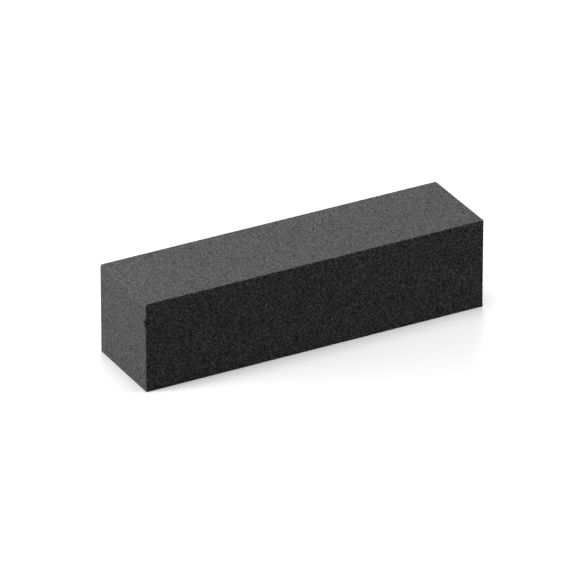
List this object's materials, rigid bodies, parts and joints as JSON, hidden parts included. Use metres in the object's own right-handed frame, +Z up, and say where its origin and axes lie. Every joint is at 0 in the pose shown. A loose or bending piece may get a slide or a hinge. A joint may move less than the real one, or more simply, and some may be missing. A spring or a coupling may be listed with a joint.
{
  "type": "foam spacer",
  "caption": "Long rectangular block of fine-celled black foam with a square section and crisp cut edges, a small chip in an upright edge, placed between flat surfaces to hold them apart.",
  "frame": {"origin": "middle of the underside, on the surface that the block rests on", "axes": "+X along the length, +Y across the width from front to back, +Z up"},
  "size_m": [0.0974, 0.025, 0.025],
  "materials": {
    "foam": "matt cut face of fine-celled foam"
  },
  "bodies": {
    "root": {"foam_block": "foam"}
  },
  "joints": []
}
